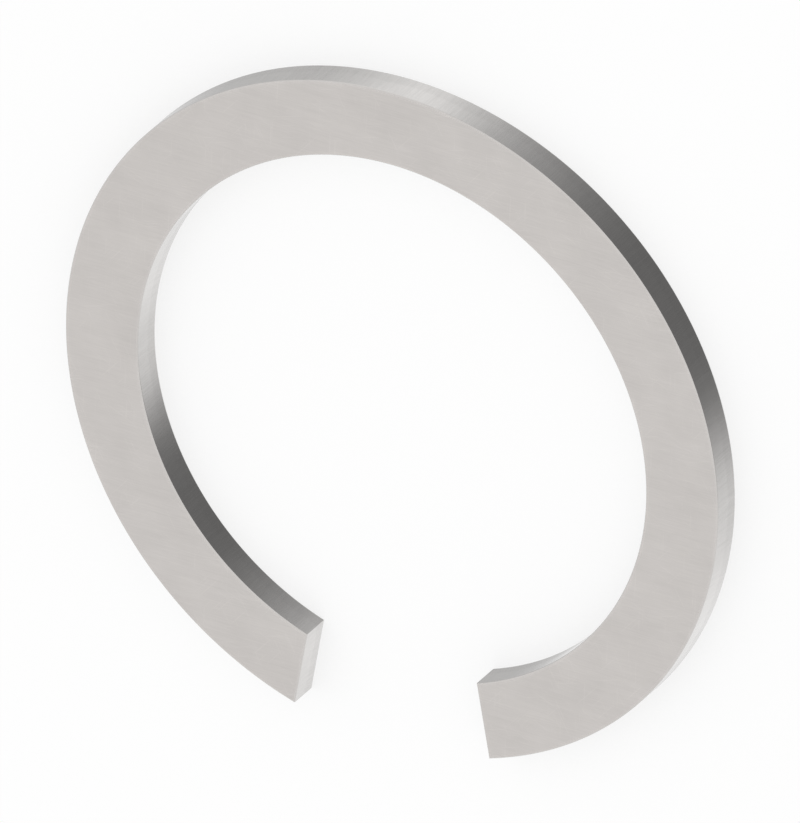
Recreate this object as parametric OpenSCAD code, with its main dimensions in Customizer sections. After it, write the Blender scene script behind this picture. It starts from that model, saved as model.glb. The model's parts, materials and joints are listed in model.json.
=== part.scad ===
// Plain retaining ring of stamped spring steel: a flat band of constant
// width, open at one gap, with no lugs and no holes. It lies flat, with its
// axis along +Z, its underside at z = 0 and the gap centred on the -Y side.

/* [Band] */
// Outer diameter of the free ring
outer_d = 26; // [20:0.5:34]
// Width of the band, from its inner wall to its outer wall
band_w = 2.87; // [1.5:0.01:4]
// Thickness of the sheet that the ring is stamped from
thickness = 1.2; // [0.6:0.1:2.4]

/* [Gap] */
// Width of the gap where it meets the inner wall
gap_w = 6.75; // [3:0.25:9]
// Lean of each end face away from the gap's centreline, in degrees
end_lean = 10; // [0:1:16]

/* [Edges] */
// Radius of the tumbled edges, round the rims of both flat faces
edge_r = 0.04; // [0.02:0.01:0.2]

/* [Hidden] */

steel_color = "silver";

// Facets of the large circles and of the small edge rounds
band_fn = 240;
edge_fn = 24;

// How far a cut runs past the metal on each side
cut_over = 1;

outer_r = outer_d / 2;
inner_r = outer_r - band_w;
flat_h = thickness - 2 * edge_r;

// Each end face is a plane. This is the plane's distance from the ring's
// axis, found from the corner where the face meets the inner wall.
gap_half = gap_w / 2;
corner_depth = sqrt(inner_r * inner_r - gap_half * gap_half);
face_dist = gap_half * cos(end_lean) - corner_depth * sin(end_lean);

// Section of the band, as it is revolved: a bar with rounded edges
module band_section() {
    translate([inner_r, edge_r])
        square([band_w, flat_h]);
    translate([inner_r + edge_r, 0])
        square([band_w - 2 * edge_r, thickness]);
    for (x = [inner_r + edge_r, outer_r - edge_r])
        for (y = [edge_r, thickness - edge_r])
            translate([x, y])
                circle(r = edge_r, $fn = edge_fn);
}

// What a sharp square edge loses when it is rounded. The edge stands at the
// origin, with the metal on its +X side and below it.
module edge_waste() {
    difference() {
        translate([-cut_over, -edge_r])
            square([edge_r + cut_over, edge_r + cut_over]);
        translate([edge_r, -edge_r])
            circle(r = edge_r, $fn = edge_fn);
    }
}

// Section of the cut that leaves an end face, seen along that face: all that
// lies on the gap's side of it, and the waste of its upper and lower edge
module end_section() {
    translate([-outer_r, -cut_over])
        square([outer_r, thickness + 2 * cut_over]);
    translate([0, thickness])
        edge_waste();
    mirror([0, 1])
        edge_waste();
}

// The cut for the end on the +X side. The section above runs outwards along
// the face, from well inside the inner wall to past the outer one.
module end_cut() {
    rotate([0, 0, end_lean - 90])
        translate([inner_r / 2, face_dist, 0])
            rotate([90, 0, 90])
                linear_extrude(height = outer_r)
                    end_section();
}

// Half of the ring, from the middle of the gap round to the far side
module half_ring() {
    difference() {
        rotate_extrude(angle = 180, start = -90, $fn = band_fn)
            band_section();
        end_cut();
    }
}

module ring() {
    color(steel_color)
        union() {
            half_ring();
            mirror([1, 0, 0])
                half_ring();
        }
}

ring();
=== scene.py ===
"""A lugless retaining ring of spring steel, lying flat in a pale light tent.

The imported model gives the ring's radii and thickness. This script turns them
into a finely divided mesh with true edge rounds, dresses its rolled faces,
sheared walls and tumbled edges, and sets up the floor, the tent and the camera.
Lengths are in metres and angles in degrees, unless a name says otherwise.
"""

import json
import logging
import math
from collections.abc import Iterator
from dataclasses import dataclass, field
from enum import Enum
from itertools import product

import bmesh
import bpy
from mathutils import Matrix, Vector

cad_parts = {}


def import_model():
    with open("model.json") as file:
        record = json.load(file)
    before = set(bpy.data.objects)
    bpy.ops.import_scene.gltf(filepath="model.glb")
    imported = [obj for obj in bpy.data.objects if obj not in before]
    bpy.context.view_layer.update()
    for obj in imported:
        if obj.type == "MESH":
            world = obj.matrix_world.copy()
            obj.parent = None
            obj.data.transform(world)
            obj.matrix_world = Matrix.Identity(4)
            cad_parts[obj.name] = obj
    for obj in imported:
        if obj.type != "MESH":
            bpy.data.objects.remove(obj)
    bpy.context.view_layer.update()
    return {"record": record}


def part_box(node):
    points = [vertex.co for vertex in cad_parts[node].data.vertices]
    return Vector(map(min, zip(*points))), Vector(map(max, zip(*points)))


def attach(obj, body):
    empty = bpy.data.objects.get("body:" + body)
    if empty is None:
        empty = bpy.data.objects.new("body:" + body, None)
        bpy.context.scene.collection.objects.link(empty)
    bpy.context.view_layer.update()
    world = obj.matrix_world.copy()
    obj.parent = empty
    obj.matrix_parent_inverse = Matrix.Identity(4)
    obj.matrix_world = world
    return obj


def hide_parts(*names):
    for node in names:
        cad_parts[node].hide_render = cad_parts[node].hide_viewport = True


LOG = logging.getLogger("retaining_ring")

# One millimetre, in metres
MM = 0.001

# Nearly all of a noise's values lie between these
NOISE_SPAN = (0.3, 0.7)

Colour = tuple[float, float, float]
Stretch = tuple[float, float, float]
GridPlace = tuple[int, int, int]

# What a node's input can be fed: a socket, a number, a colour or a vector
Feed = bpy.types.NodeSocket | float | tuple[float, ...]


class Zone(Enum):
    """The kinds of surface that making the ring leaves on it, in slot order."""

    ROLLED_FACE = 0
    SHEARED_WALL = 1
    TUMBLED_EDGE = 2


# Node helpers


def add_node(tree: bpy.types.NodeTree, kind: str, **settings: object) -> bpy.types.Node:
    """Adds a node and sets it up.

    Args:
        tree: The node tree that gets the node.
        kind: The node's type name.
        **settings: Properties of the node, by name.

    Returns:
        The new node.
    """
    node = tree.nodes.new(kind)
    for name, value in settings.items():
        setattr(node, name, value)
    return node


def feed(tree: bpy.types.NodeTree, socket: bpy.types.NodeSocket, value: Feed) -> None:
    """Links a socket to another socket, or sets it to a plain value.

    Args:
        tree: The node tree that holds both.
        socket: The input to fill.
        value: What goes in.
    """
    if isinstance(value, bpy.types.NodeSocket):
        tree.links.new(value, socket)
    else:
        socket.default_value = value


def maths(
    tree: bpy.types.NodeTree, operation: str, *values: Feed
) -> bpy.types.NodeSocket:
    """Adds one Math node.

    Args:
        tree: The node tree that gets the node.
        operation: The Math node's operation.
        *values: Its inputs, in order: sockets or numbers.

    Returns:
        The node's output.
    """
    node = add_node(tree, "ShaderNodeMath", operation=operation)
    for socket, value in zip(node.inputs, values):
        feed(tree, socket, value)
    return node.outputs[0]


def ramp(
    tree: bpy.types.NodeTree,
    value: Feed,
    source: tuple[float, float],
    target: tuple[Feed, Feed] = (0.0, 1.0),
    smooth: bool = True,
) -> bpy.types.NodeSocket:
    """Maps a value from one range to another, clamped at both ends.

    Args:
        tree: The node tree that gets the node.
        value: The value to map.
        source: The range that it comes in.
        target: The range that it leaves in: numbers or sockets.
        smooth: Whether the change eases in and out.

    Returns:
        The mapped value.
    """
    easing = "SMOOTHSTEP" if smooth else "LINEAR"
    node = add_node(tree, "ShaderNodeMapRange", interpolation_type=easing)
    for name, given in zip(
        ("Value", "From Min", "From Max", "To Min", "To Max"), (value, *source, *target)
    ):
        feed(tree, node.inputs[name], given)
    return node.outputs["Result"]


# Effects that several of the steel's materials share


def new_group(
    name: str, inputs: dict[str, tuple[str, Feed | None]], outputs: dict[str, str]
) -> tuple[bpy.types.NodeTree, bpy.types.Node, bpy.types.Node]:
    """Makes an empty shader node group with named sockets.

    Args:
        name: The group's name.
        inputs: Each input's name, with its socket type and default.
        outputs: Each output's name, with its socket type.

    Returns:
        The group, its input node and its output node.
    """
    group = bpy.data.node_groups.new(name, "ShaderNodeTree")
    for label, (kind, default) in inputs.items():
        socket = group.interface.new_socket(label, in_out="INPUT", socket_type=kind)
        if default is not None:
            socket.default_value = default
    for label, kind in outputs.items():
        group.interface.new_socket(label, in_out="OUTPUT", socket_type=kind)
    entry = add_node(group, "NodeGroupInput")
    leave = add_node(group, "NodeGroupOutput")
    return group, entry, leave


def stretched_noise(
    tree: bpy.types.NodeTree, place: Feed, stretch: Feed, scale: Feed, detail: float
) -> bpy.types.NodeSocket:
    """Noise over a stretched copy of the surface's own coordinates.

    Args:
        tree: The node tree that gets the nodes.
        place: The coordinates, in metres.
        stretch: The factor along each axis: a socket or three numbers.
        scale: The noise's scale: a socket or a number.
        detail: The number of finer layers.

    Returns:
        The noise, centred on a half.
    """
    moved = add_node(tree, "ShaderNodeVectorMath", operation="MULTIPLY")
    feed(tree, moved.inputs[0], place)
    feed(tree, moved.inputs[1], stretch)
    noise = add_node(tree, "ShaderNodeTexNoise")
    feed(tree, noise.inputs["Vector"], moved.outputs["Vector"])
    feed(tree, noise.inputs["Scale"], scale)
    feed(tree, noise.inputs["Detail"], detail)
    return noise.outputs["Fac"]


@dataclass(frozen=True)
class SurfaceLay:
    """The lay of a steel surface: fine lines, left by rolls or by a die.

    The one value that it puts out serves as the lines' height and as their tone.
    """

    name: str = "steel_lay"
    fine_detail: float = 3.0
    coarse_share: float = 0.3
    coarse_factor: float = 0.22

    def build(self) -> bpy.types.NodeTree:
        """Makes the node group, with the place, stretch and scale as inputs.

        Returns:
            The group.
        """
        group, entry, leave = new_group(
            self.name,
            {
                "Place": ("NodeSocketVector", None),
                "Stretch": ("NodeSocketVector", (1.0, 1.0, 1.0)),
                "Scale": ("NodeSocketFloat", 1.0),
            },
            {"Lines": "NodeSocketFloat"},
        )
        place, stretch = entry.outputs["Place"], entry.outputs["Stretch"]
        scale = entry.outputs["Scale"]
        wide = maths(group, "MULTIPLY", scale, self.coarse_factor)
        fine = stretched_noise(group, place, stretch, scale, self.fine_detail)
        broad = stretched_noise(group, place, stretch, wide, self.fine_detail)
        kept = maths(group, "MULTIPLY", fine, 1.0 - self.coarse_share)
        lines = maths(group, "MULTIPLY_ADD", broad, self.coarse_share, kept)
        feed(group, leave.inputs["Lines"], lines)
        return group


@dataclass(frozen=True)
class TumbleMarks:
    """What a tumbling barrel leaves: a soft haze, and short straight scratches.

    Each heading has its own layer of scratches: noise that is drawn out along
    the heading, of which only the peaks are kept. Each layer turns about a
    place of its own, one shift further on, so no two of them are alike.
    """

    name: str = "tumble_marks"
    haze_detail: float = 4.0
    headings: tuple[float, ...] = (17.0, 49.0, 88.0, 118.0, 156.0)
    layer_shift: float = 0.37
    slimness: float = 0.03
    peak: tuple[float, float] = (0.73, 0.81)

    def scratches(
        self, tree: bpy.types.NodeTree, place: Feed, scale: Feed, layer: int
    ) -> bpy.types.NodeSocket:
        """One layer of scratches, all in one heading.

        Args:
            tree: The node tree that gets the nodes.
            place: The coordinates, in metres.
            scale: The scratches across a metre.
            layer: The layer's number.

        Returns:
            The mask, which is 1 on a scratch and 0 off it.
        """
        turned = add_node(tree, "ShaderNodeVectorRotate", rotation_type="Z_AXIS")
        feed(tree, turned.inputs["Vector"], place)
        feed(tree, turned.inputs["Center"], (self.layer_shift * layer, 0.0, 0.0))
        feed(tree, turned.inputs["Angle"], math.radians(-self.headings[layer]))
        drawn_out = (self.slimness, 1.0, 1.0)
        noise = stretched_noise(tree, turned.outputs["Vector"], drawn_out, scale, 0.0)
        return ramp(tree, noise, self.peak)

    def build(self) -> bpy.types.NodeTree:
        """Makes the node group, with the place and two scales as inputs.

        Returns:
            The group.
        """
        group, entry, leave = new_group(
            self.name,
            {
                "Place": ("NodeSocketVector", None),
                "Haze Scale": ("NodeSocketFloat", 1.0),
                "Scratch Scale": ("NodeSocketFloat", 1.0),
            },
            {"Haze": "NodeSocketFloat", "Scratches": "NodeSocketFloat"},
        )
        place = entry.outputs["Place"]
        haze = stretched_noise(
            group, place, (1.0, 1.0, 1.0), entry.outputs["Haze Scale"], self.haze_detail
        )
        marks: Feed = 0.0
        for layer in range(len(self.headings)):
            found = self.scratches(group, place, entry.outputs["Scratch Scale"], layer)
            marks = maths(group, "MAXIMUM", marks, found)
        feed(group, leave.inputs["Haze"], haze)
        feed(group, leave.inputs["Scratches"], marks)
        return group


@dataclass(frozen=True)
class RimWear:
    """The brighter margin that tumbling rubs along every edge of the flat faces.

    margin is its usual width, and least_reach is the width that it always has.
    """

    inner_r: float
    outer_r: float
    end_dist: float
    end_lean: float
    margin: float = 0.16 * MM
    least_reach: float = 0.01 * MM
    name: str = "rim_wear"

    def from_walls(
        self, tree: bpy.types.NodeTree, place: bpy.types.NodeSocket
    ) -> bpy.types.NodeSocket:
        """The distance to the nearer of the two round walls.

        Args:
            tree: The group's node tree.
            place: The coordinates, in metres.

        Returns:
            The distance, in metres.
        """
        flat = add_node(tree, "ShaderNodeVectorMath", operation="MULTIPLY")
        feed(tree, flat.inputs[0], place)
        feed(tree, flat.inputs[1], (1.0, 1.0, 0.0))
        length = add_node(tree, "ShaderNodeVectorMath", operation="LENGTH")
        feed(tree, length.inputs[0], flat.outputs["Vector"])
        radius = length.outputs["Value"]
        inner = maths(tree, "SUBTRACT", radius, self.inner_r)
        outer = maths(tree, "SUBTRACT", self.outer_r, radius)
        return maths(tree, "MINIMUM", inner, outer)

    def from_ends(
        self, tree: bpy.types.NodeTree, place: bpy.types.NodeSocket
    ) -> bpy.types.NodeSocket:
        """The distance to the end face on the same side of the gap.

        Args:
            tree: The group's node tree.
            place: The coordinates, in metres.

        Returns:
            The distance, in metres.
        """
        folded = add_node(tree, "ShaderNodeVectorMath", operation="ABSOLUTE")
        feed(tree, folded.inputs[0], place)
        parts = add_node(tree, "ShaderNodeSeparateXYZ")
        feed(tree, parts.inputs[0], place)
        side = add_node(tree, "ShaderNodeSeparateXYZ")
        feed(tree, side.inputs[0], folded.outputs["Vector"])
        lean = math.radians(self.end_lean)
        across = maths(tree, "MULTIPLY", side.outputs["X"], math.cos(lean))
        along = maths(tree, "MULTIPLY_ADD", parts.outputs["Y"], math.sin(lean), across)
        return maths(tree, "SUBTRACT", along, self.end_dist)

    def build(self) -> bpy.types.NodeTree:
        """Makes the node group, with the place and a ragged edge as inputs.

        Returns:
            The group. Its Ragged input is noise about a half.
        """
        group, entry, leave = new_group(
            self.name,
            {
                "Place": ("NodeSocketVector", None),
                "Ragged": ("NodeSocketFloat", 0.5),
            },
            {"Wear": "NodeSocketFloat"},
        )
        place = entry.outputs["Place"]
        walls, ends = self.from_walls(group, place), self.from_ends(group, place)
        nearest = maths(group, "MINIMUM", walls, ends)
        ragged = maths(group, "MULTIPLY", entry.outputs["Ragged"], 2.0 * self.margin)
        reach = maths(group, "ADD", ragged, self.least_reach)
        share = maths(group, "DIVIDE", nearest, reach)
        feed(group, leave.inputs["Wear"], ramp(group, share, (0.0, 1.0), (1.0, 0.0)))
        return group


@dataclass(frozen=True)
class SharedEffects:
    """The node groups that the steel's materials are made of."""

    lay: bpy.types.NodeTree
    tumbling: bpy.types.NodeTree
    wear: bpy.types.NodeTree


# Finishes


@dataclass(frozen=True)
class SteelMarks:
    """Where a material has its marks: sockets that vary over the surface."""

    lines: bpy.types.NodeSocket
    haze: bpy.types.NodeSocket
    scratches: bpy.types.NodeSocket
    wear: bpy.types.NodeSocket
    torn: Feed


@dataclass(frozen=True)
class SteelFinish:
    """One finish of bright spring steel.

    A width is the size of the marks on the ring, a depth is their height, which
    only the light feels, and a swing is the share that a value varies by.
    wear_gain is what rubbed edges gain in brightness and lose in roughness, and
    the torn values are what torn metal loses in one and gains in the other.
    """

    name: str
    colour: Colour = (0.578, 0.552, 0.533)
    roughness: float = 0.3
    line_width: float = 0.05 * MM
    line_stretch: Stretch = (1.0, 1.0, 1.0)
    line_depth: float = 0.0003 * MM
    line_swing: float = 0.04
    haze_width: float = 1.6 * MM
    haze_swing: float = 0.03
    scratch_width: float = 0.05 * MM
    scratch_depth: float = 0.0004 * MM
    scratch_swing: float = 0.045
    wear_gain: float = 0.04
    torn_dimming: float = 0.0
    torn_matting: float = 0.0

    def placed(
        self, tree: bpy.types.NodeTree, effect: bpy.types.NodeTree, **inputs: Feed
    ) -> bpy.types.Node:
        """Places a shared effect in this finish's material.

        Args:
            tree: The material's node tree.
            effect: The node group.
            **inputs: Its inputs, by name, with an underscore for each space.

        Returns:
            The group's node.
        """
        node = add_node(tree, "ShaderNodeGroup", node_tree=effect)
        for name, value in inputs.items():
            feed(tree, node.inputs[name.replace("_", " ")], value)
        return node

    def swung(
        self, tree: bpy.types.NodeTree, noise: bpy.types.NodeSocket, swing: float
    ) -> bpy.types.NodeSocket:
        """Turns noise about a half into a factor that swings about one."""
        ends = (1.0 - swing, 1.0 + swing)
        return ramp(tree, noise, NOISE_SPAN, ends, smooth=False)

    def torn_part(
        self,
        tree: bpy.types.NodeTree,
        place: bpy.types.NodeSocket,
        noise: bpy.types.NodeSocket,
    ) -> Feed:
        """How much of the surface is torn and not burnished. Here none of it is."""
        return 0.0

    def marks(self, tree: bpy.types.NodeTree, effects: SharedEffects) -> SteelMarks:
        """Places the shared effects, each with this finish's own values.

        Args:
            tree: The material's node tree.
            effects: The node groups.

        Returns:
            The marks that they make.
        """
        place = add_node(tree, "ShaderNodeTexCoord").outputs["Object"]
        lay = self.placed(
            tree,
            effects.lay,
            Place=place,
            Stretch=self.line_stretch,
            Scale=1.0 / self.line_width,
        )
        tumbling = self.placed(
            tree,
            effects.tumbling,
            Place=place,
            Haze_Scale=1.0 / self.haze_width,
            Scratch_Scale=1.0 / self.scratch_width,
        )
        haze = tumbling.outputs["Haze"]
        rim = self.placed(tree, effects.wear, Place=place, Ragged=haze)
        return SteelMarks(
            lines=lay.outputs["Lines"],
            haze=haze,
            scratches=tumbling.outputs["Scratches"],
            wear=rim.outputs["Wear"],
            torn=self.torn_part(tree, place, haze),
        )

    def tinted(
        self, tree: bpy.types.NodeTree, marks: SteelMarks
    ) -> bpy.types.NodeSocket:
        """The steel's colour, which every kind of mark makes lighter or darker.

        Args:
            tree: The material's node tree.
            marks: The material's marks.

        Returns:
            The colour.
        """
        lined = self.swung(tree, marks.lines, self.line_swing)
        hazed = self.swung(tree, marks.haze, self.haze_swing)
        rubbed = maths(tree, "MULTIPLY_ADD", marks.wear, self.wear_gain, 1.0)
        scored = maths(
            tree, "MULTIPLY_ADD", marks.scratches, self.scratch_swing, rubbed
        )
        dimmed = maths(tree, "MULTIPLY_ADD", marks.torn, -self.torn_dimming, scored)
        level = maths(tree, "MULTIPLY", maths(tree, "MULTIPLY", lined, hazed), dimmed)
        tint = add_node(tree, "ShaderNodeVectorMath", operation="SCALE")
        feed(tree, tint.inputs[0], self.colour)
        feed(tree, tint.inputs["Scale"], level)
        return tint.outputs["Vector"]

    def matted(
        self, tree: bpy.types.NodeTree, marks: SteelMarks
    ) -> bpy.types.NodeSocket:
        """The steel's roughness: less on rubbed edges, and more where it is torn.

        Args:
            tree: The material's node tree.
            marks: The material's marks.

        Returns:
            The roughness.
        """
        hazed = self.swung(tree, marks.haze, self.haze_swing)
        satin = maths(tree, "MULTIPLY", hazed, self.roughness)
        polished = maths(tree, "MULTIPLY_ADD", marks.wear, -self.wear_gain, satin)
        return maths(tree, "MULTIPLY_ADD", marks.torn, self.torn_matting, polished)

    def raised(
        self, tree: bpy.types.NodeTree, marks: SteelMarks
    ) -> bpy.types.NodeSocket:
        """The relief, as a height in metres: lines stand up, and scratches cut in."""
        height = maths(tree, "MULTIPLY", marks.lines, self.line_depth)
        return maths(tree, "MULTIPLY_ADD", marks.scratches, -self.scratch_depth, height)

    def build(self, effects: SharedEffects) -> bpy.types.Material:
        """Makes the material.

        Args:
            effects: The node groups that it uses.

        Returns:
            The new material.
        """
        material = bpy.data.materials.new(self.name)
        material.use_nodes = True
        tree = material.node_tree
        shader = tree.nodes["Principled BSDF"]
        shader.inputs["Metallic"].default_value = 1.0
        marks = self.marks(tree, effects)
        feed(tree, shader.inputs["Base Color"], self.tinted(tree, marks))
        feed(tree, shader.inputs["Roughness"], self.matted(tree, marks))
        bump = add_node(tree, "ShaderNodeBump")
        feed(tree, bump.inputs["Distance"], 1.0)
        feed(tree, bump.inputs["Height"], self.raised(tree, marks))
        feed(tree, shader.inputs["Normal"], bump.outputs["Normal"])
        return material


@dataclass(frozen=True)
class ShearedFinish(SteelFinish):
    """The finish that a blanking die leaves: a burnished band above a torn one.

    The burnish line is the height where one ends and the other starts.
    """

    burnish_line: float = 0.5 * MM
    line_raggedness: float = 0.3 * MM
    line_blur: float = 0.08 * MM

    def torn_part(
        self,
        tree: bpy.types.NodeTree,
        place: bpy.types.NodeSocket,
        noise: bpy.types.NodeSocket,
    ) -> Feed:
        """How much of the wall is torn: all of it low down, and none higher up.

        Args:
            tree: The material's node tree.
            place: The coordinates, in metres.
            noise: The noise that makes the bands' border ragged.

        Returns:
            The mask of the torn band.
        """
        parts = add_node(tree, "ShaderNodeSeparateXYZ")
        feed(tree, parts.inputs[0], place)
        level = parts.outputs["Z"]
        off = maths(tree, "SUBTRACT", noise, 0.5)
        height = maths(tree, "MULTIPLY_ADD", off, self.line_raggedness, level)
        line, blur = self.burnish_line, self.line_blur
        return ramp(tree, height, (line - blur, line + blur), (1.0, 0.0))


FINISHES = {
    Zone.ROLLED_FACE: SteelFinish("rolled_face_steel", line_stretch=(0.04, 1.0, 1.0)),
    Zone.SHEARED_WALL: ShearedFinish(
        "sheared_wall_steel",
        colour=(0.578, 0.565, 0.554),
        roughness=0.19,
        line_stretch=(1.0, 1.0, 0.06),
        line_depth=0.00014 * MM,
        line_swing=0.06,
        haze_swing=0.02,
        scratch_depth=0.0,
        scratch_swing=0.0,
        wear_gain=0.0,
        torn_dimming=0.035,
        torn_matting=0.03,
    ),
    Zone.TUMBLED_EDGE: SteelFinish(
        "tumbled_edge_steel",
        colour=(0.6, 0.58, 0.565),
        roughness=0.25,
        line_depth=0.00008 * MM,
        line_swing=0.01,
        haze_swing=0.02,
        scratch_depth=0.0002 * MM,
        scratch_swing=0.04,
        wear_gain=0.0,
    ),
}


# The ring


@dataclass(frozen=True)
class EdgeLevel:
    """One level of the band's edge, from its lower flat to its upper one.

    inset is how far the level lies inside the full outline, height is where it
    is, and out and up are the two parts of the surface's normal there.
    """

    inset: float
    height: float
    out: float
    up: float


@dataclass(frozen=True)
class MeshFace:
    """One face of the mesh: its corners' grid places and normals, and its zone."""

    places: list[GridPlace]
    normals: list[Vector]
    zone: Zone


@dataclass
class RetainingRing:
    """The ring, as a mesh: an open flat band with rounded edges.

    The mesh is a grid bent round the axis. A grid place is the level up the
    edge, the step round the ring, and the step across the band. The gap, the
    lean of the ends and the edge radius are those of the part's own source.
    """

    outer_r: float
    inner_r: float
    thickness: float
    gap_w: float = 6.75 * MM
    end_lean: float = 10.0
    edge_r: float = 0.04 * MM
    name: str = "retaining_ring"
    arc_steps: int = 480
    cross_steps: int = 6
    round_steps: int = 5
    levels: list[EdgeLevel] = field(init=False)
    face_dist: float = field(init=False)

    def __post_init__(self) -> None:
        """Works out the end face's place and the levels of the edge."""
        half = self.gap_w / 2
        depth = math.sqrt(self.inner_r**2 - half**2)
        lean = math.radians(self.end_lean)
        self.face_dist = half * math.cos(lean) - depth * math.sin(lean)
        self.levels = list(self.edge_levels())

    def edge_levels(self) -> Iterator[EdgeLevel]:
        """Works out the rounded edge, from the underside to the upper face.

        Yields:
            The levels of the lower round, then those of the upper one.
        """
        centres = (self.edge_r, self.thickness - self.edge_r)
        for centre, first in zip(centres, (-90.0, 0.0)):
            for i in range(self.round_steps + 1):
                angle = math.radians(first + 90.0 * i / self.round_steps)
                out, up = math.cos(angle), math.sin(angle)
                inset = self.edge_r * (1 - out)
                yield EdgeLevel(inset, centre + self.edge_r * up, out, up)

    def end_direction(self) -> Vector:
        """The way along the +X end's face, outwards."""
        lean = math.radians(self.end_lean)
        return Vector((math.sin(lean), -math.cos(lean), 0.0))

    def end_angle(self, radius: float, inset: float) -> float:
        """The +X end's angle on a circle, in radians, when cut back by an inset."""
        off_axis = math.asin((self.face_dist + inset) / radius)
        return off_axis - math.pi / 2 + math.radians(self.end_lean)

    def arc_point(self, radius: float, inset: float, n: int) -> Vector:
        """A point of one circle of the band.

        Args:
            radius: The circle's radius.
            inset: How far the ends are cut back into the metal.
            n: The step round the ring, from the +X end.

        Returns:
            The point, at height zero.
        """
        start = self.end_angle(radius, inset)
        span = math.pi - 2 * start
        angle = start + span * n / self.arc_steps
        return Vector((radius * math.cos(angle), radius * math.sin(angle), 0.0))

    def point(self, k: int, n: int, m: int) -> Vector:
        """The point at one grid place.

        Args:
            k: The level up the edge.
            n: The step round the ring.
            m: The step across the band.

        Returns:
            The point.
        """
        level = self.levels[k]
        inner = self.arc_point(self.inner_r + level.inset, level.inset, n)
        outer = self.arc_point(self.outer_r - level.inset, level.inset, n)
        place = inner.lerp(outer, m / self.cross_steps)
        place.z = level.height
        return place

    def wall_normal(self, place: Vector, level: EdgeLevel, outwards: float) -> Vector:
        """The unit normal of a round wall that faces outwards (1) or inwards (-1)."""
        radial = Vector((place.x, place.y, 0.0)).normalized() * outwards
        return radial * level.out + Vector((0.0, 0.0, level.up))

    def end_normal(self, level: EdgeLevel, side: float) -> Vector:
        """The normal of an end face.

        Args:
            level: The point's level of the edge.
            side: 1 at the +X end and -1 at the other.

        Returns:
            The unit normal.
        """
        along = self.end_direction()
        facing = Vector((along.y * side, -along.x, 0.0))
        return facing * level.out + Vector((0.0, 0.0, level.up))

    def zone_of(self, k: int) -> Zone:
        """The zone of a strip of edge between levels k and k + 1."""
        sheared = k == self.round_steps
        return Zone.SHEARED_WALL if sheared else Zone.TUMBLED_EDGE

    def wall_faces(self, k: int) -> Iterator[MeshFace]:
        """One strip of both round walls.

        Args:
            k: The level under the strip.

        Yields:
            The strip's faces.
        """
        for n in range(self.arc_steps):
            for m, outwards in ((0, -1.0), (self.cross_steps, 1.0)):
                places = [(k, n, m), (k, n + 1, m), (k + 1, n + 1, m), (k + 1, n, m)]
                if outwards < 0:
                    places.reverse()
                normals = [
                    self.wall_normal(self.point(*p), self.levels[p[0]], outwards)
                    for p in places
                ]
                yield MeshFace(places, normals, self.zone_of(k))

    def end_faces(self, k: int) -> Iterator[MeshFace]:
        """One strip of both end faces.

        Args:
            k: The level under the strip.

        Yields:
            The strip's faces.
        """
        for m in range(self.cross_steps):
            for n, side in ((0, 1.0), (self.arc_steps, -1.0)):
                places = [(k, n, m), (k, n, m + 1), (k + 1, n, m + 1), (k + 1, n, m)]
                if side < 0:
                    places.reverse()
                normals = [self.end_normal(self.levels[p[0]], side) for p in places]
                yield MeshFace(places, normals, self.zone_of(k))

    def flat_faces(self) -> Iterator[MeshFace]:
        """The ring's underside and its upper side.

        Yields:
            Their faces, in pairs.
        """
        for n, m in product(range(self.arc_steps), range(self.cross_steps)):
            for k, up in ((0, -1.0), (len(self.levels) - 1, 1.0)):
                places = [(k, n, m), (k, n, m + 1), (k, n + 1, m + 1), (k, n + 1, m)]
                if up < 0:
                    places.reverse()
                yield MeshFace(places, [Vector((0.0, 0.0, up))] * 4, Zone.ROLLED_FACE)

    def mesh_faces(self) -> Iterator[MeshFace]:
        """The whole mesh.

        Yields:
            The faces of the edge, level by level, then those of the flats.
        """
        for k in range(len(self.levels) - 1):
            yield from self.wall_faces(k)
            yield from self.end_faces(k)
        yield from self.flat_faces()

    def build(self) -> bpy.types.Object:
        """Makes the ring's object, with exact normals at every corner.

        Returns:
            The object, linked into the scene.
        """
        index: dict[GridPlace, int] = {}
        points: list[Vector] = []
        faces: list[list[int]] = []
        normals: list[Vector] = []
        zones: list[int] = []
        for face in self.mesh_faces():
            for place in face.places:
                if place not in index:
                    index[place] = len(points)
                    points.append(self.point(*place))
            faces.append([index[place] for place in face.places])
            normals.extend(face.normals)
            zones.append(face.zone.value)
        mesh = bpy.data.meshes.new(self.name)
        mesh.from_pydata(points, [], faces)
        mesh.polygons.foreach_set("material_index", zones)
        mesh.shade_smooth()
        mesh.normals_split_custom_set(normals)
        mesh.update()
        ring = bpy.data.objects.new(self.name, mesh)
        bpy.context.scene.collection.objects.link(ring)
        return ring

    def dress(self, ring: bpy.types.Object) -> None:
        """Gives the ring one material for each zone.

        Args:
            ring: The ring's object.
        """
        rim = RimWear(self.inner_r, self.outer_r, self.face_dist, self.end_lean)
        effects = SharedEffects(
            lay=SurfaceLay().build(),
            tumbling=TumbleMarks().build(),
            wear=rim.build(),
        )
        for zone in Zone:
            ring.data.materials.append(FINISHES[zone].build(effects))


# The studio


@dataclass(frozen=True)
class SoftPanel:
    """A bright panel in the tent's side, which fades to both sides of its middle.

    At the spread, an angle from the middle, a good third of its light is left.
    """

    azimuth: float
    spread: float
    strength: float

    def add_to(
        self, tree: bpy.types.NodeTree, heading: Feed, light: Feed
    ) -> bpy.types.NodeSocket:
        """Adds the panel's light to the tent's.

        Args:
            tree: The tent's node tree.
            heading: The level direction from the ring.
            light: The light so far.

        Returns:
            The light with the panel's own.
        """
        sharpness = 1.0 / (1.0 - math.cos(math.radians(self.spread)))
        facing = alignment(tree, heading, self.azimuth)
        fall = maths(tree, "MULTIPLY_ADD", facing, sharpness, -sharpness)
        glow = maths(tree, "EXPONENT", fall)
        return maths(tree, "MULTIPLY_ADD", glow, self.strength, light)


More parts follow.
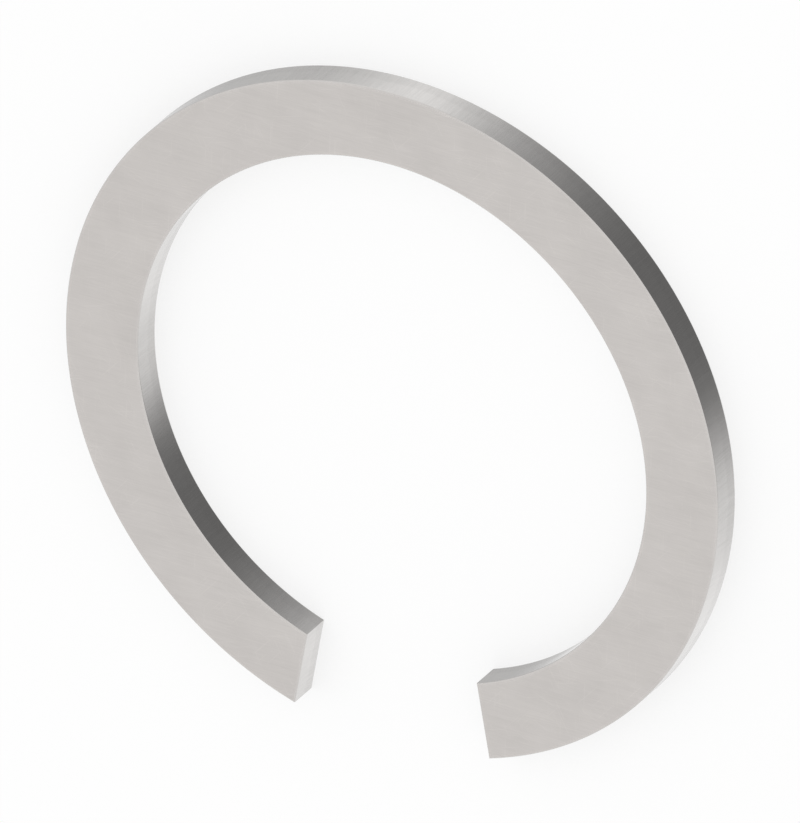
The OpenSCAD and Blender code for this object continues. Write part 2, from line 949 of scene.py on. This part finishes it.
@dataclass(frozen=True)
class DarkCard:
    """A soft-edged dark card in the tent, which gives bright metal its contrast.

    It is darkest up to one angle from its middle, and gone past another.
    """

    azimuth: float
    full: float
    gone: float
    darkness: float

    def hold_back(
        self, tree: bpy.types.NodeTree, heading: Feed, light: Feed
    ) -> bpy.types.NodeSocket:
        """Darkens the tent where the card stands.

        Args:
            tree: The tent's node tree.
            heading: The level direction from the ring.
            light: The light so far.

        Returns:
            The light that is left.
        """
        facing = alignment(tree, heading, self.azimuth)
        angle = maths(tree, "ARCCOSINE", facing)
        limits = (math.radians(self.full), math.radians(self.gone))
        kept = ramp(tree, angle, limits, (1.0 - self.darkness, 1.0))
        return maths(tree, "MULTIPLY", light, kept)


def alignment(
    tree: bpy.types.NodeTree, heading: Feed, azimuth: float
) -> bpy.types.NodeSocket:
    """How nearly a level direction points at an azimuth.

    Args:
        tree: The tent's node tree.
        heading: The level direction.
        azimuth: The azimuth, from +X towards +Y.

    Returns:
        The cosine of the angle between them.
    """
    angle = math.radians(azimuth)
    dot = add_node(tree, "ShaderNodeVectorMath", operation="DOT_PRODUCT")
    feed(tree, dot.inputs[0], heading)
    feed(tree, dot.inputs[1], (math.cos(angle), math.sin(angle), 0.0))
    return dot.outputs["Value"]


@dataclass(frozen=True)
class LightTent:
    """The round tent that the bright metal mirrors, and the plain white world.

    The tent is plain white above the floor's level. Below it, down where the
    upright walls look, is a dimmer cloth with soft panels and one dark card.
    Only reflections see the tent. All else is lit by the white world.
    """

    radius: float = 0.2
    upper_level: float = 1.0
    lower_level: float = 0.67
    horizon: tuple[float, float] = (-0.2, 0.1)
    panels: tuple[SoftPanel, ...] = (
        SoftPanel(azimuth=120.0, spread=22.0, strength=0.54),
        SoftPanel(azimuth=-32.0, spread=19.0, strength=0.57),
        SoftPanel(azimuth=-80.0, spread=42.0, strength=0.48),
        SoftPanel(azimuth=-136.0, spread=15.0, strength=0.34),
        SoftPanel(azimuth=168.0, spread=13.0, strength=0.06),
    )
    card: DarkCard = DarkCard(azimuth=21.0, full=16.0, gone=96.0, darkness=0.685)
    segments: int = 48
    name: str = "light_tent"

    def material(self) -> bpy.types.Material:
        """Makes the tent's material, which gives light by itself.

        Returns:
            The new material.
        """
        material = bpy.data.materials.new(self.name)
        material.use_nodes = True
        tree = material.node_tree
        tree.nodes.clear()
        place = add_node(tree, "ShaderNodeTexCoord").outputs["Object"]
        parts = add_node(tree, "ShaderNodeSeparateXYZ")
        feed(tree, parts.inputs[0], place)
        height = maths(tree, "DIVIDE", parts.outputs["Z"], self.radius)
        above = ramp(tree, height, self.horizon)
        level = add_node(tree, "ShaderNodeVectorMath", operation="MULTIPLY")
        feed(tree, level.inputs[0], place)
        feed(tree, level.inputs[1], (1.0, 1.0, 0.0))
        unit = add_node(tree, "ShaderNodeVectorMath", operation="NORMALIZE")
        feed(tree, unit.inputs[0], level.outputs["Vector"])
        heading = unit.outputs["Vector"]

        light: Feed = self.lower_level
        for panel in self.panels:
            light = panel.add_to(tree, heading, light)
        light = self.card.hold_back(tree, heading, light)
        both = ramp(tree, above, (0.0, 1.0), (light, self.upper_level), smooth=False)
        glow = add_node(tree, "ShaderNodeEmission")
        feed(tree, glow.inputs["Strength"], both)
        output = add_node(tree, "ShaderNodeOutputMaterial")
        feed(tree, output.inputs["Surface"], glow.outputs[0])
        return material

    def build(self) -> bpy.types.Object:
        """Makes the tent, which only reflections see.

        Returns:
            The tent's object.
        """
        mesh = bpy.data.meshes.new(self.name)
        form = bmesh.new()
        bmesh.ops.create_uvsphere(
            form,
            u_segments=2 * self.segments,
            v_segments=self.segments,
            radius=self.radius,
        )
        form.to_mesh(mesh)
        form.free()
        mesh.materials.append(self.material())
        tent = bpy.data.objects.new(self.name, mesh)
        tent.visible_camera = False
        tent.visible_diffuse = False
        tent.visible_shadow = False
        tent.visible_transmission = False
        bpy.context.scene.collection.objects.link(tent)
        return tent

    def light_world(self) -> bpy.types.World:
        """Makes the plain white world and gives it to the scene.

        Returns:
            The world.
        """
        world = bpy.data.worlds.new("white_world")
        world.use_nodes = True
        background = world.node_tree.nodes["Background"]
        background.inputs["Color"].default_value = (1.0, 1.0, 1.0, 1.0)
        background.inputs["Strength"].default_value = self.upper_level
        bpy.context.scene.world = world
        return world


@dataclass(frozen=True)
class TentFloor:
    """The white floor. It keeps the ring's soft shadow.

    The camera sees it partly lit by itself, so that it reads as white, and so
    would glass. The metal looks through it, down into the lower half of the
    tent, and from below it is clear.
    """

    half_width: float = 0.6
    drop: float = 0.005 * MM
    colour: Colour = (0.97, 0.97, 0.97)
    roughness: float = 0.9
    own_light: float = 0.7
    name: str = "tent_floor"

    def material(self) -> bpy.types.Material:
        """Makes the floor's material.

        Returns:
            The new material.
        """
        material = bpy.data.materials.new(self.name)
        material.use_nodes = True
        tree = material.node_tree
        shader = tree.nodes["Principled BSDF"]
        output = tree.nodes["Material Output"]
        feed(tree, shader.inputs["Base Color"], (*self.colour, 1.0))
        feed(tree, shader.inputs["Roughness"], self.roughness)
        feed(tree, shader.inputs["Specular IOR Level"], 0.0)
        rays = add_node(tree, "ShaderNodeLightPath")
        glow = add_node(tree, "ShaderNodeEmission")
        direct = maths(
            tree,
            "MAXIMUM",
            rays.outputs["Is Camera Ray"],
            rays.outputs["Is Transmission Ray"],
        )
        share = maths(tree, "MULTIPLY", direct, self.own_light)
        pale = add_node(tree, "ShaderNodeMixShader")
        feed(tree, pale.inputs[0], share)
        feed(tree, pale.inputs[1], shader.outputs[0])
        feed(tree, pale.inputs[2], glow.outputs[0])
        through = add_node(tree, "ShaderNodeBsdfTransparent")
        under = add_node(tree, "ShaderNodeNewGeometry").outputs["Backfacing"]
        clear = maths(tree, "MAXIMUM", rays.outputs["Is Glossy Ray"], under)
        seen = add_node(tree, "ShaderNodeMixShader")
        feed(tree, seen.inputs[0], clear)
        feed(tree, seen.inputs[1], pale.outputs[0])
        feed(tree, seen.inputs[2], through.outputs[0])
        feed(tree, output.inputs["Surface"], seen.outputs[0])
        return material

    def build(self) -> bpy.types.Object:
        """Makes the floor, a hair below the ring's underside.

        Returns:
            The floor's object.
        """
        w = self.half_width
        mesh = bpy.data.meshes.new(self.name)
        corners = [(x, y, -self.drop) for x, y in ((-w, -w), (w, -w), (w, w), (-w, w))]
        mesh.from_pydata(corners, [], [(0, 1, 2, 3)])
        mesh.materials.append(self.material())
        floor = bpy.data.objects.new(self.name, mesh)
        bpy.context.scene.collection.objects.link(floor)
        return floor


@dataclass(frozen=True)
class ProductShot:
    """The photograph's view, in its own frame of 800 by 823 pixels.

    It has no perspective. It is taken as if the ring stood on edge with its gap
    down, from the right and from above. Here the ring lies down instead, and
    the camera goes with it, so it looks down on the upper face and is rolled.
    """

    turn: float = 30.0
    tilt: float = 30.0
    frame_height_px: float = 823.0
    frame_middle_px: tuple[float, float] = (400.0, 411.5)
    ring_centre_px: tuple[float, float] = (391.7, 419.5)
    ring_span_px: float = 753.1
    distance: float = 0.3
    nearest_seen: float = 3 * MM

    def axes(self) -> tuple[Vector, Vector, Vector]:
        """Works out the way that the picture faces.

        Returns:
            The picture's right, its up, and the way back to the camera.
        """
        a, e = math.radians(self.turn), math.radians(self.tilt)
        right = Vector((math.cos(a), 0.0, -math.sin(a)))
        back = Vector(
            (math.sin(a) * math.cos(e), math.sin(e), math.cos(a) * math.cos(e))
        )
        return right, back.cross(right), back

    def build(self, ring: RetainingRing) -> bpy.types.Object:
        """Makes the scene's camera.

        Args:
            ring: The ring that the picture is framed on.

        Returns:
            The camera.
        """
        right, up, back = self.axes()
        pixel = 2 * ring.outer_r / self.ring_span_px
        across = self.frame_middle_px[0] - self.ring_centre_px[0]
        above = self.ring_centre_px[1] - self.frame_middle_px[1]
        middle = Vector((0.0, 0.0, ring.thickness))
        middle += (right * across + up * above) * pixel
        data = bpy.data.cameras.new("product_shot")
        data.type = "ORTHO"
        data.ortho_scale = self.frame_height_px * pixel
        data.clip_start = self.nearest_seen
        camera = bpy.data.objects.new(data.name, data)
        turned = Matrix((right, up, back)).transposed().to_4x4()
        camera.matrix_world = Matrix.Translation(middle + back * self.distance) @ turned
        bpy.context.scene.collection.objects.link(camera)
        bpy.context.scene.camera = camera
        return camera


def wall_radius(record: dict, mount: str) -> float:
    """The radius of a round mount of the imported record, in metres.

    Args:
        record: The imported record.
        mount: The mount's name.

    Returns:
        Its wall's radius.
    """
    found = next(m for m in record["mounts"] if m["name"] == mount)
    return found["dims"]["r_mm"] * MM


def main() -> None:
    """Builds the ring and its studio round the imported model."""
    logging.basicConfig(level=logging.INFO, format="%(name)s: %(message)s")
    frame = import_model()
    bpy.context.scene.view_settings.view_transform = "Standard"

    record = frame["record"]
    low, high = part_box("ring")
    ring = RetainingRing(
        outer_r=wall_radius(record, "housing_grip"),
        inner_r=wall_radius(record, "shaft_grip"),
        thickness=high.z - low.z,
    )
    camera = ProductShot().build(ring)
    LOG.info("%s covers %.1f mm of height", camera.name, camera.data.ortho_scale / MM)

    piece = ring.build()
    ring.dress(piece)
    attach(piece, "root")
    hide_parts("ring")
    LOG.info("%s has %d faces", piece.name, len(piece.data.polygons))

    floor = TentFloor().build()
    light = LightTent()
    tent, world = light.build(), light.light_world()
    LOG.info("%s, %s and %s are up", floor.name, tent.name, world.name)


if __name__ == "__main__":
    main()
